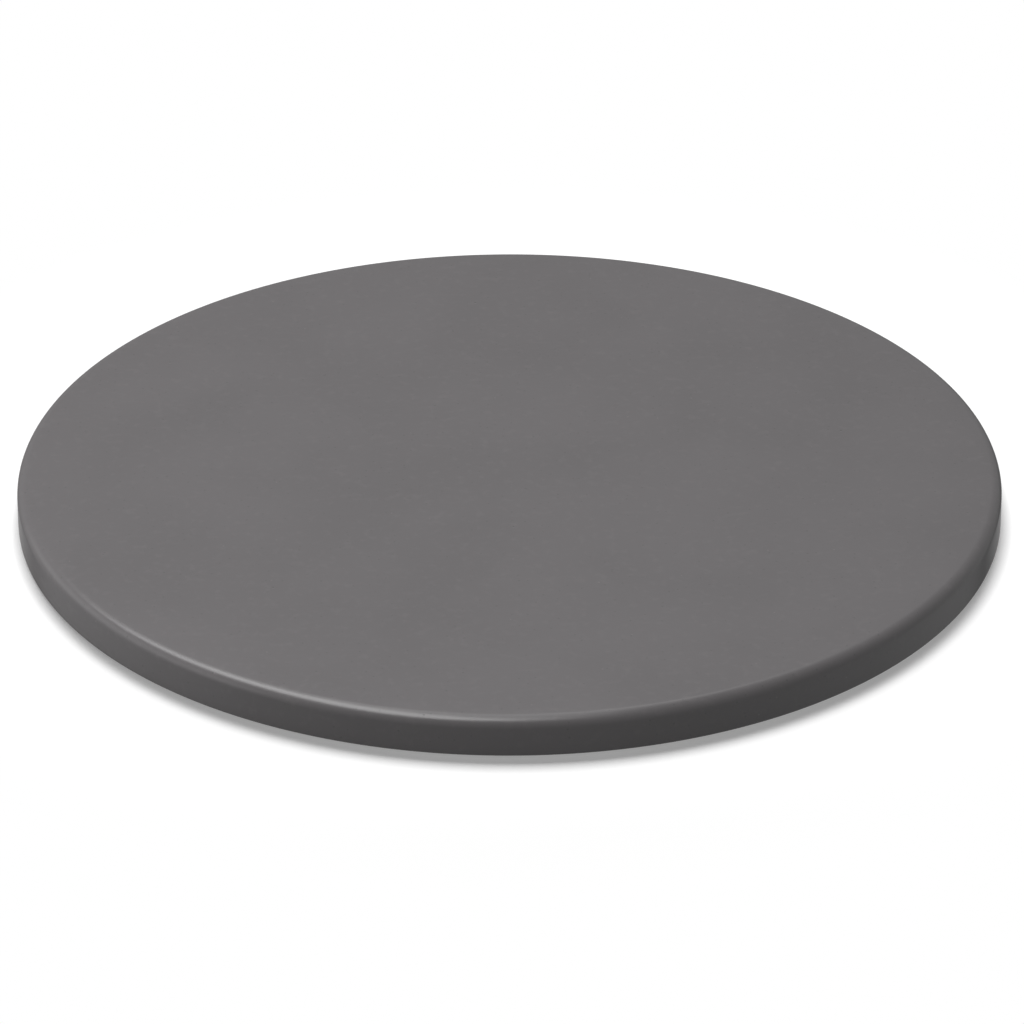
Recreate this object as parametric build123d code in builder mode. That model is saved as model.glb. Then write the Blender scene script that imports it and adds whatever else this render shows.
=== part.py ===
from build123d import *

import math
import os

# A round glazed pizza stone, in two pieces that are fired together: the pressed cordierite
# disc, and the glaze on its top, rim and wall. The origin is the centre of the bare underside,
# +Z points up out of the baking face, and lengths are in millimetres.

# Driving dimensions of the finished stone
stone_diameter = 360.0
stone_thickness = 15.0
rim_radius = 4.0  # rounding of the glazed upper edge

# The bare body
foot_bevel = 0.8  # both legs of the bevel between the wall and the underside

# The glaze
glaze_thickness = 0.4
glaze_line_height = 0.3  # the glaze ends this far above the surface that the stone lies on

# The body is the finished stone less its glaze
body_radius = stone_diameter / 2 - glaze_thickness
body_thickness = stone_thickness - glaze_thickness
body_rim_radius = rim_radius - glaze_thickness
flat_radius = body_radius - body_rim_radius  # where the flat top turns into the rim

# A bevel with equal legs turns in by half a quarter turn. The glaze is as thick on it as on the
# wall, so its corner between them lies lower than the body's by this share of its thickness
quarter_turn = 90.0
bevel_turn = quarter_turn / 2
corner_drop_share = math.tan(math.radians(bevel_turn / 2))


def outline(coat):
    """Draw the glazed side of the section, at a distance of coat outside the bare body.

    It goes from the axis out over the top, down the rim and the wall, and in along the bevel to
    the glaze line. That last line is returned.
    """
    top = Line((0, body_thickness + coat), (flat_radius, body_thickness + coat))
    rim = JernArc(top @ 1, top % 1, body_rim_radius + coat, -quarter_turn)
    wall_foot = foot_bevel - coat * corner_drop_share
    wall = Line(rim @ 1, (body_radius + coat, wall_foot))
    glaze_line_radius = body_radius + coat - (wall_foot - glaze_line_height)
    return Line(wall @ 1, (glaze_line_radius, glaze_line_height))


# Stone body: a solid disc with a rounded rim, a bevelled lower edge and a flat, bare underside
with BuildPart() as stone_body:
    with BuildSketch(Plane.XZ):
        with BuildLine():
            bevel = outline(0)
            Polyline(bevel @ 1, (body_radius - foot_bevel, 0), (0, 0), (0, body_thickness))
        make_face()
    revolve(axis=Axis.Z)
stone_body.part.label = "stone_body"

# Glaze coat: an even skin that lies on the body face to face, and ends level on the bevel, so
# that only the bare body touches what the stone lies on
with BuildPart() as glaze_coat:
    with BuildSketch(Plane.XZ):
        with BuildLine():
            inner_bevel = outline(0)
            outer_bevel = outline(glaze_thickness)
            Line(inner_bevel @ 1, outer_bevel @ 1)
            Line((0, body_thickness), (0, stone_thickness))
        make_face()
    revolve(axis=Axis.Z)
glaze_coat.part.label = "glaze_coat"

os.makedirs("parts", exist_ok=True)
for piece in (stone_body.part, glaze_coat.part):
    export_step(piece, f"parts/{piece.label}.step")
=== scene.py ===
import math

import bpy
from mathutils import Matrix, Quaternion, Vector, noise


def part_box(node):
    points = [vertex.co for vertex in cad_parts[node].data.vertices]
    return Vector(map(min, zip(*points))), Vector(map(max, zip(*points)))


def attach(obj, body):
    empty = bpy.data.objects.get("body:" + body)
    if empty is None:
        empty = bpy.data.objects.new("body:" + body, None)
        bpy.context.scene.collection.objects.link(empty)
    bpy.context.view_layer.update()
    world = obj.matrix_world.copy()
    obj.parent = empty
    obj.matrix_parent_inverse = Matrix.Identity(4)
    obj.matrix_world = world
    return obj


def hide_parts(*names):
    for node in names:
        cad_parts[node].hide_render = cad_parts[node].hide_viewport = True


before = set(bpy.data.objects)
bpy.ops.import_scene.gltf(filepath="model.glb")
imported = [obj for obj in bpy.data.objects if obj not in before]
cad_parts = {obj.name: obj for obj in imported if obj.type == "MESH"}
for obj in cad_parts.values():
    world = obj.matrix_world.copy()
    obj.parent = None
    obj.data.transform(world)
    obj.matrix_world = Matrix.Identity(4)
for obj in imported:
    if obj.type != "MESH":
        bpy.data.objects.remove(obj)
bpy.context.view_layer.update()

# Sizes that the CAD pieces in model.glb give. All lengths are in metres
body_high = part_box("stone_body")[1]
coat_low, coat_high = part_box("glaze_coat")
stone_radius = coat_high.x
stone_height = coat_high.z
body_radius = body_high.x
body_height = body_high.z
coat_thickness = stone_height - body_height
glaze_line_height = coat_low.z

# Sizes of the section that no box gives, as they are in the CAD model
rim_radius = 0.004
foot_bevel = 0.0008
body_rim_radius = rim_radius - coat_thickness
flat_radius = body_radius - body_rim_radius

# Softness that fired clay and melted glaze have, and that the CAD model leaves out
foot_round = 0.00025  # on the body, between its wall and its bevel
sole_round = 0.0002  # on the body, between its bevel and its underside
glaze_end_length = 0.0003  # along the bevel, over which the glaze rounds off to nothing
glaze_line_wave = 0.00006  # how far the end of the glaze rises above its line, at most
glaze_line_wave_length = 0.022

# How finely the pieces are divided
patch_cells = 64  # along each side of the square patch in the middle of a disc
patch_share = 0.5  # of the disc's radius, out to the patch's corners
patch_bulge = 0.5  # 0 for a square patch, 1 for a round one
disc_steps = 14  # rings from the patch out to the disc's edge
rim_steps = 12
wall_steps = 6
foot_steps = 4
end_steps = 6
around = 4 * patch_cells

# The bevel has equal legs, so it turns by 45 degrees from the wall
bevel_turn = 45
half_bevel_turn = math.radians(bevel_turn / 2)
bevel_slope = math.sqrt(0.5)  # how far down, and how far in, a length of 1 along the bevel goes


# Sections: points in order, each a distance from the axis and a height

def arc(centre, radius, start, end, steps):
    """An arc from one angle to the other, in degrees, both ends included."""
    points = []
    for step in range(steps + 1):
        angle = math.radians(start + (end - start) * step / steps)
        points.append((centre[0] + radius * math.cos(angle), centre[1] + radius * math.sin(angle)))
    return points


def run(start, end, steps):
    """A straight run between two points, both left out."""
    points = []
    for step in range(1, steps):
        share = step / steps
        points.append((start[0] + (end[0] - start[0]) * share, start[1] + (end[1] - start[1]) * share))
    return points


def glazed_side(coat):
    """Rim, wall and the turn into the bevel, a distance of coat outside the bare body."""
    rim_centre = (flat_radius, body_height - body_rim_radius)
    foot_centre = (body_radius - foot_round, foot_bevel + foot_round * math.tan(half_bevel_turn))
    rim = arc(rim_centre, body_rim_radius + coat, 90, 0, rim_steps)
    foot = arc(foot_centre, foot_round + coat, 0, -bevel_turn, foot_steps)
    return rim + run(rim[-1], foot[0], wall_steps) + foot


def glaze_line_at(angle):
    """Height of the glaze's lowest point at this angle round the stone."""
    place = Vector((math.cos(angle), math.sin(angle), 0)) * stone_radius / glaze_line_wave_length
    return glaze_line_height + glaze_line_wave * (0.5 + 0.5 * noise.noise(place))


def glaze_end(bevel_start, lowest):
    """The glaze's round end on the bevel, from its outer face in to the body."""
    length = (bevel_start[1] - lowest) / bevel_slope + coat_thickness
    length -= math.hypot(glaze_end_length, coat_thickness)
    points = []
    for step in range(end_steps + 1):
        turn = math.radians(90 * step / end_steps)
        along = length + glaze_end_length * math.sin(turn)
        inward = coat_thickness * (1 - math.cos(turn))
        distance = bevel_start[0] - (along + inward) * bevel_slope
        points.append((distance, bevel_start[1] - (along - inward) * bevel_slope))
    return points


def coat_section(angle):
    """From the edge of the flat top down the glaze's outer face, then back up where it lies on the body."""
    outside = glazed_side(coat_thickness)
    return outside + glaze_end(outside[-1], glaze_line_at(angle)), glazed_side(0)[::-1]


def body_section(angle):
    """From the edge of the body's flat top down the glazed side, then on to the edge of its underside."""
    sole_centre = (body_radius - foot_bevel - sole_round * math.tan(half_bevel_turn), sole_round)
    return glazed_side(0), arc(sole_centre, sole_round, -bevel_turn, -90, foot_steps)


# Meshes: a disc of quads, the two parts of the section carried round the axis, and a disc that
# closes it. The map for baking has the side that shows as one wide disc, with the lengths along the
# section kept, and the hidden side as a small disc in a corner

wide_disc = ((0.5, 0.5), 0.495)  # centre and radius, on a map with sides of 1
small_disc = ((0.09, 0.09), 0.08)


def patch_place(column, row):
    """Where a point of the middle patch lies, on a disc of radius 1."""
    across = math.radians(90 * column / patch_cells - 45)
    along = math.radians(90 * row / patch_cells - 45)
    square = Vector((across, along)) / math.radians(45) * math.sqrt(0.5)
    rounded = Vector((math.sin(across) * math.cos(along), math.cos(across) * math.sin(along))) * math.sqrt(2)
    return square.lerp(rounded, patch_bulge) * patch_share


def patch_edge():
    """The patch's outer points in order, anticlockwise from the corner before +X."""
    steps = range(patch_cells)
    right = [(patch_cells, step) for step in steps]
    far = [(patch_cells - step, patch_cells) for step in steps]
    left = [(0, patch_cells - step) for step in steps]
    near = [(step, 0) for step in steps]
    return right + far + left + near


# Where the points of every ring lie, from the patch's first corner on
angles = [math.radians(360 * step / around - 45) for step in range(around)]


def bridge(faces, inner, outer, up=True):
    """Quads between two rings of points."""
    for step in range(around):
        after = (step + 1) % around
        face = (inner[step], outer[step], outer[after], inner[after])
        faces.append(face if up else face[::-1])


def add_disc(points, faces, radius, height, up):
    """Adds a flat disc and returns the numbers of its outer points in order."""
    first = len(points)
    width = patch_cells + 1
    for row in range(width):
        for column in range(width):
            place = patch_place(column, row) * radius
            points.append((place.x, place.y, height))
    for row in range(patch_cells):
        for column in range(patch_cells):
            corner = first + row * width + column
            face = (corner, corner + 1, corner + width + 1, corner + width)
            faces.append(face if up else face[::-1])
    edge = [patch_place(column, row) * radius for column, row in patch_edge()]
    ring = [first + row * width + column for column, row in patch_edge()]
    for step in range(1, disc_steps + 1):
        outer = list(range(len(points), len(points) + around))
        for angle, start in zip(angles, edge):
            end = Vector((math.cos(angle), math.sin(angle))) * radius
            place = start.lerp(end, step / disc_steps)
            points.append((place.x, place.y, height))
        bridge(faces, ring, outer, up)
        ring = outer
    return ring


def distances_along(section):
    """How far each point lies from the axis, measured along the section from its first point."""
    distances = [section[0][0]]
    for before, after in zip(section, section[1:]):
        distances.append(distances[-1] + math.dist(before, after))
    return distances


def lay_out(mesh, upper_faces, stretch, longest, top_shows):
    """Adds the map, on which the first faces lie round the upper disc and the others round the lower."""
    layer = mesh.uv_layers.new(name="OFBake")
    for face in mesh.polygons:
        lower = face.index >= upper_faces
        centre, radius = small_disc if lower == top_shows else wide_disc
        for loop in face.loop_indices:
            corner = mesh.loops[loop].vertex_index
            place = mesh.vertices[corner].co * stretch[corner][lower] * radius / longest[lower]
            layer.data[loop].uv = (centre[0] + (-place.x if lower else place.x), centre[1] + place.y)


def turned_piece(name, section_at, top_shows):
    """The closed piece that a section makes. Its map is cut between the section's two parts."""
    halves = [section_at(angle) for angle in angles]
    sections = [upper + lower for upper, lower in halves]
    section = sections[0]
    seam = len(halves[0][0]) - 1
    from_top = distances_along(section)
    from_foot = distances_along(section[::-1])[::-1]
    points, faces = [], []
    ring = add_disc(points, faces, *section[0], up=True)
    stretch = [(1, 1)] * len(points)
    for step in range(1, len(section) - 1):
        lower_ring = list(range(len(points), len(points) + around))
        for angle, each in zip(angles, sections):
            distance, height = each[step]
            points.append((distance * math.cos(angle), distance * math.sin(angle), height))
        stretch += [(from_top[step] / section[step][0], from_foot[step] / section[step][0])] * around
        bridge(faces, ring, lower_ring)
        ring = lower_ring
        if step == seam:
            upper_faces = len(faces)
    closing = add_disc(points, faces, *section[-1], up=False)
    stretch += [(1, 1)] * (len(points) - len(stretch))
    bridge(faces, ring, closing)
    mesh = bpy.data.meshes.new(name)
    mesh.from_pydata(points, [], faces)
    mesh.shade_smooth()
    lay_out(mesh, upper_faces, stretch, (from_top[seam], from_foot[seam]), top_shows)
    piece = bpy.data.objects.new(name, mesh)
    bpy.context.scene.collection.objects.link(piece)
    return piece


# Shader nodes

def new_tree(owner):
    """The empty node tree of a new material or world."""
    owner.use_nodes = True
    owner.node_tree.nodes.clear()
    return owner.node_tree


def add_node(tree, kind, inputs=None, **settings):
    """A node with these settings. Each input, by name or number, is set to a value or linked to a socket."""
    node = tree.nodes.new(kind)
    for name, value in settings.items():
        setattr(node, name, value)
    for name, value in (inputs or {}).items():
        if isinstance(value, bpy.types.NodeSocket):
            tree.links.new(value, node.inputs[name])
        else:
            node.inputs[name].default_value = value
    return node


def maths(tree, operation, first, second):
    return add_node(tree, "ShaderNodeMath", {0: first, 1: second}, operation=operation).outputs[0]


def eased(tree, value, low, high, start=0.0, end=1.0):
    """Goes smoothly from start to end as value goes from low to high, and stays there outside."""
    inputs = {"Value": value, "From Min": low, "From Max": high, "To Min": start, "To Max": end}
    return add_node(tree, "ShaderNodeMapRange", inputs, interpolation_type="SMOOTHSTEP").outputs[0]


def mixed(tree, share, first, second):
    """A colour between two, each given as a colour or a socket."""
    node = add_node(tree, "ShaderNodeMix", data_type="RGBA")
    sockets = {s.identifier: s for s in node.inputs}
    for socket, value in (("Factor_Float", share), ("A_Color", first), ("B_Color", second)):
        if isinstance(value, bpy.types.NodeSocket):
            tree.links.new(value, sockets[socket])
        elif socket == "Factor_Float":
            sockets[socket].default_value = value
        else:
            sockets[socket].default_value = (*value, 1)
    return next(s for s in node.outputs if s.identifier == "Result_Color")


def tinted(colour, factor):
    return tuple(channel * factor for channel in colour)


def clouds(tree, place, size, detail):
    """Soft noise from 0 to 1 with features of this size."""
    inputs = {"Vector": place, "Scale": 1 / size, "Detail": detail}
    return add_node(tree, "ShaderNodeTexNoise", inputs).outputs[0]


def spots(tree, place, spacing, radius, share):
    """1 in small round spots and 0 between them. This share of the cells, spacing apart, has one."""
    cells = add_node(tree, "ShaderNodeTexVoronoi", {"Vector": place, "Scale": 1 / spacing})
    spot = eased(tree, cells.outputs["Distance"], radius / spacing, radius / spacing / 2)
    chance = add_node(tree, "ShaderNodeSeparateColor", {0: cells.outputs["Color"]}).outputs[0]
    return maths(tree, "MULTIPLY", spot, maths(tree, "LESS_THAN", chance, share))


def flecked(tree, colour, flecks, strength, fleck_colour):
    """The colour with flecks over it, where flecks is 1. A strength of 1 hides the colour there."""
    return mixed(tree, maths(tree, "MULTIPLY", flecks, strength), colour, fleck_colour)


def raised(tree, value, pattern, amount):
    """The value raised by this amount where the pattern is 1, or lowered if the amount is negative."""
    return maths(tree, "ADD", value, maths(tree, "MULTIPLY", pattern, amount))


def bumped(tree, height):
    """The normal of a surface with this height, in metres."""
    return add_node(tree, "ShaderNodeBump", {"Height": height, "Distance": 1.0, "Strength": 1.0}).outputs[0]


fired_ior = 1.5  # of the glaze and of the ceramic


def finish_material(tree, inputs):
    """Gives the material the shader of a fired surface with these inputs."""
    shader = add_node(tree, "ShaderNodeBsdfPrincipled", {"IOR": fired_ior, **inputs})
    add_node(tree, "ShaderNodeOutputMaterial", {"Surface": shader.outputs[0]})


# Glaze: a satin dark grey, faintly clouded and mottled, with fine specks, a few pinholes with painted
# shade in them, and the soft dimpling of a sprayed glaze

glaze_colour = (0.081, 0.0755, 0.078)
glaze_cloud_size = 0.045
glaze_cloud_tint = 0.035  # how far the clouds go above and below the colour
mottle_size = 0.0035
mottle_tint = 1.25

# Specks and holes: their spacing, their radius, and the share of places that have one
dark_specks_layout = (0.0028, 0.0005, 0.35)
pale_specks_layout = (0.0061, 0.0004, 0.3)
pinholes_layout = (0.017, 0.0005, 0.35)

glaze_roughness = 0.295  # on average
mottle_roughness = 0.03  # the spread that the mottle gives it
cloud_roughness = 0.02  # and the spread that the clouds give it
glaze_gloss = 0.435
glaze_slant_gloss = 0.01  # the gloss that is left at a slant, where fine dimpling hides the rest of it
slant_start = 0.3  # where the gloss begins to fall off: 0 faces the eye and 1 is edge-on
slant_end = 0.8

dimple_size = 0.0024
dimple_height = 0.000012
fine_dimple_size = 0.0005
fine_dimple_height = 0.0000015
pinhole_depth = 0.00008


def glaze_material():
    material = bpy.data.materials.new("satin_glaze")
    tree = new_tree(material)
    place = add_node(tree, "ShaderNodeTexCoord").outputs["Object"]

    cloud = eased(tree, clouds(tree, place, glaze_cloud_size, 3.0), 0.3, 0.7)
    dark_cloud = tinted(glaze_colour, 1 - glaze_cloud_tint)
    pale_cloud = tinted(glaze_colour, 1 + glaze_cloud_tint)
    mottle = clouds(tree, place, mottle_size, 3.0)
    pinholes = spots(tree, place, *pinholes_layout)
    colour = mixed(tree, cloud, dark_cloud, pale_cloud)
    colour = mixed(tree, eased(tree, mottle, 0.5, 0.8, 0.0, 0.5), colour, tinted(glaze_colour, mottle_tint))
    colour = flecked(tree, colour, spots(tree, place, *dark_specks_layout), 0.5, tinted(glaze_colour, 0.6))
    colour = flecked(tree, colour, spots(tree, place, *pale_specks_layout), 0.5, tinted(glaze_colour, 1.9))
    # The pinholes are painted near black: that is painted shade inside the holes, over their real dent in
    # the bump
    colour = flecked(tree, colour, pinholes, 0.8, tinted(glaze_colour, 0.3))

    least_rough = glaze_roughness - (mottle_roughness + cloud_roughness) / 2
    rough = raised(tree, least_rough, mottle, mottle_roughness)
    rough = raised(tree, rough, cloud, cloud_roughness)

    height = maths(tree, "MULTIPLY", clouds(tree, place, dimple_size, 1.0), dimple_height)
    height = raised(tree, height, clouds(tree, place, fine_dimple_size, 2.0), fine_dimple_height)
    height = raised(tree, height, pinholes, -pinhole_depth)

    slant = add_node(tree, "ShaderNodeLayerWeight", {"Blend": 0.5}).outputs["Facing"]
    gloss = eased(tree, slant, slant_start, slant_end, glaze_gloss, glaze_slant_gloss)
    inputs = {"Base Color": colour, "Roughness": rough, "Normal": bumped(tree, height)}
    finish_material(tree, {**inputs, "Specular IOR Level": gloss})
    return material


# Bare ceramic: dry buff cordierite with pale grog, iron specks and open pores with painted shade in them

ceramic_colour = (0.6, 0.49, 0.36)
ceramic_pale_cloud = (0.64, 0.535, 0.41)
ceramic_cloud_size = 0.06
grain_size = 0.0009
grain_height = 0.00006

# Grog, iron specks and pores: their spacing, their radius, and the share of places that have one
grog_layout = (0.0024, 0.0008, 0.4)
iron_layout = (0.0055, 0.0006, 0.3)
pores_layout = (0.0032, 0.0005, 0.4)
grog_colour = (0.74, 0.66, 0.54)
grog_height = 0.00002
iron_colour = (0.1, 0.05, 0.03)
pore_depth = 0.0002


def ceramic_material():
    material = bpy.data.materials.new("bare_cordierite")
    tree = new_tree(material)
    place = add_node(tree, "ShaderNodeTexCoord").outputs["Object"]

    cloud = eased(tree, clouds(tree, place, ceramic_cloud_size, 4.0), 0.3, 0.7)
    grain = clouds(tree, place, grain_size, 3.0)
    grog = spots(tree, place, *grog_layout)
    pores = spots(tree, place, *pores_layout)
    colour = mixed(tree, cloud, tinted(ceramic_colour, 0.9), ceramic_pale_cloud)
    colour = mixed(tree, eased(tree, grain, 0.4, 0.75, 0.0, 0.5), colour, tinted(ceramic_colour, 0.72))
    colour = flecked(tree, colour, grog, 0.6, grog_colour)
    colour = flecked(tree, colour, spots(tree, place, *iron_layout), 0.85, iron_colour)
    # The pores are painted darker: that is painted shade inside them, over their real dent in the bump
    colour = flecked(tree, colour, pores, 0.7, tinted(ceramic_colour, 0.35))

    height = maths(tree, "MULTIPLY", grain, grain_height)
    height = raised(tree, height, grog, grog_height)
    height = raised(tree, height, pores, -pore_depth)
    rough = eased(tree, grain, 0.3, 0.7, 0.82, 0.95)
    finish_material(tree, {"Base Color": colour, "Roughness": rough, "Normal": bumped(tree, height)})
    return material


# The stone's two pieces

glazed_skin = turned_piece("glazed_skin", coat_section, top_shows=True)
glazed_skin.data.materials.append(glaze_material())
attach(glazed_skin, "root")
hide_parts("glaze_coat")

ceramic_disc = turned_piece("ceramic_disc", body_section, top_shows=False)
ceramic_disc.data.materials.append(ceramic_material())
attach(ceramic_disc, "root")
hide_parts("stone_body")


# Floor: white to the camera but for the stone's shadow, and grey in the light that it gives back,
# with more of it on the left. Away from the stone, where its lamp falls off, it stays as white as
# the world

floor_size = 6.0
floor_grey = 0.17
floor_left_grey = 1.0
palest_x = -0.26  # the floor gives back the most light on the left of here
darkest_x = -0.04  # and the least on the right of here
shadow_depth = 0.7  # share of the floor's light that the stone's shadow takes away
lit_radius = 0.215  # the floor shows its lamp's light out to here
white_radius = 0.27  # and is all white from here on


def ray_is_direct(tree):
    """1 for camera, glossy and transmission rays, and 0 for the rays that light the object."""
    path = add_node(tree, "ShaderNodeLightPath")
    seen = maths(tree, "MAXIMUM", path.outputs["Is Camera Ray"], path.outputs["Is Glossy Ray"])
    return maths(tree, "MAXIMUM", seen, path.outputs["Is Transmission Ray"])


def floor_material():
    material = bpy.data.materials.new("floor")
    tree = new_tree(material)
    place = add_node(tree, "ShaderNodeNewGeometry").outputs["Position"]
    across = add_node(tree, "ShaderNodeSeparateXYZ", {0: place}).outputs["X"]
    grey = eased(tree, across, palest_x, darkest_x, floor_left_grey, floor_grey)
    direct = ray_is_direct(tree)
    lit = add_node(tree, "ShaderNodeBsdfDiffuse", {"Color": eased(tree, direct, 0.0, 1.0, grey, 1.0)})
    white = add_node(tree, "ShaderNodeEmission", {"Color": (1, 1, 1, 1), "Strength": 1.0})
    mirrored = add_node(tree, "ShaderNodeLightPath").outputs["Is Glossy Ray"]
    distance = add_node(tree, "ShaderNodeVectorMath", {0: place}, operation="LENGTH").outputs["Value"]
    plain = eased(tree, distance, lit_radius, white_radius, 1 - shadow_depth, 1.0)
    share = maths(tree, "MAXIMUM", mirrored, maths(tree, "MULTIPLY", plain, direct))
    shader = add_node(tree, "ShaderNodeMixShader", {0: share, 1: lit.outputs[0], 2: white.outputs[0]})
    add_node(tree, "ShaderNodeOutputMaterial", {"Surface": shader.outputs[0]})
    return material


floor_mesh = bpy.data.meshes.new("floor")
reach = floor_size / 2
corners = [(-reach, -reach, 0), (reach, -reach, 0), (reach, reach, 0), (-reach, reach, 0)]
floor_mesh.from_pydata(corners, [], [(0, 1, 2, 3)])
floor_mesh.materials.append(floor_material())
floor = bpy.data.objects.new("floor", floor_mesh)
bpy.context.scene.collection.objects.link(floor)

# World: white where it is seen, and a faint fill for the object
world_fill = 0.01
world = bpy.data.worlds.new("studio")
bpy.context.scene.world = world
world_tree = new_tree(world)
strength = eased(world_tree, ray_is_direct(world_tree), 0.0, 1.0, world_fill, 1.0)
backdrop = add_node(world_tree, "ShaderNodeBackground", {"Color": (1, 1, 1, 1), "Strength": strength})
add_node(world_tree, "ShaderNodeOutputWorld", {"Surface": backdrop.outputs[0]})


# Lamps: a broad softbox overhead, its brighter core just under it, which the rim mirrors on the
# left, and a weak one low on the left. They light the stone alone. The floor has its own lamp,
# behind the stone, so that the shadow lies in front

def group(name, members):
    """A collection that tells a lamp what it lights."""
    collection = bpy.data.collections.new(name)
    for member in members:
        collection.objects.link(member)
    return collection


def softbox(name, lights, place, size, power, turn=None):
    """A soft lamp of this power per square metre, facing down with a turn in degrees, or else the stone."""
    data = bpy.data.lights.new(name, "AREA")
    data.shape = "RECTANGLE"
    data.size, data.size_y = size
    data.energy = power * data.size * data.size_y
    lamp = bpy.data.objects.new(name, data)
    lamp.location = place
    lamp.visible_camera = False
    lamp.light_linking.receiver_collection = lights
    if turn is None:
        lamp.rotation_mode = "QUATERNION"
        lamp.rotation_quaternion = (-Vector(place)).to_track_quat("-Z", "Y")
    else:
        lamp.rotation_euler = (0, 0, math.radians(turn))
    bpy.context.scene.collection.objects.link(lamp)


stone_only = group("lit_stone", [glazed_skin, ceramic_disc])
floor_only = group("lit_floor", [floor])
softbox("overhead", stone_only, (-0.35, 0.27, 2.0), (1.42, 4.02), 5.0, turn=-4)
softbox("overhead_core", stone_only, (-0.87, -0.07, 1.9), (2.9, 1.05), 16.6, turn=113)
softbox("side", stone_only, (-1.9, 0.11, 0.53), (3.1, 1.04), 2.8)
softbox("floor_lamp", floor_only, (-0.24, 2.36, 4.0), (2.0, 2.2), 72.0, turn=0)

# Camera, at the photograph's viewing angle
camera_distance = 2.5  # from the middle of the stone
camera_elevation = math.radians(28.49)
camera_roll = math.radians(0.08)
camera_lens = 239.75  # in millimetres, as the sensor is
camera_sensor = 36.0
aim_right = 0.0009  # the camera looks this far beside the middle of the stone
aim_down = 0.0087
camera_data = bpy.data.cameras.new("camera")
camera_data.sensor_width = camera_sensor
camera_data.lens = camera_lens
camera = bpy.data.objects.new("camera", camera_data)
middle = Vector((0, 0, stone_height / 2))
back = Vector((0, -math.cos(camera_elevation), math.sin(camera_elevation)))
up = Vector((0, math.sin(camera_elevation), math.cos(camera_elevation)))
camera.location = middle + back * camera_distance
aim = middle + Vector((aim_right, 0, 0)) - up * aim_down
look = aim - camera.location
camera.rotation_mode = "QUATERNION"
camera.rotation_quaternion = Quaternion(look, camera_roll) @ look.to_track_quat("-Z", "Y")
bpy.context.scene.collection.objects.link(camera)
bpy.context.scene.camera = camera

bpy.context.scene.view_settings.view_transform = "Standard"
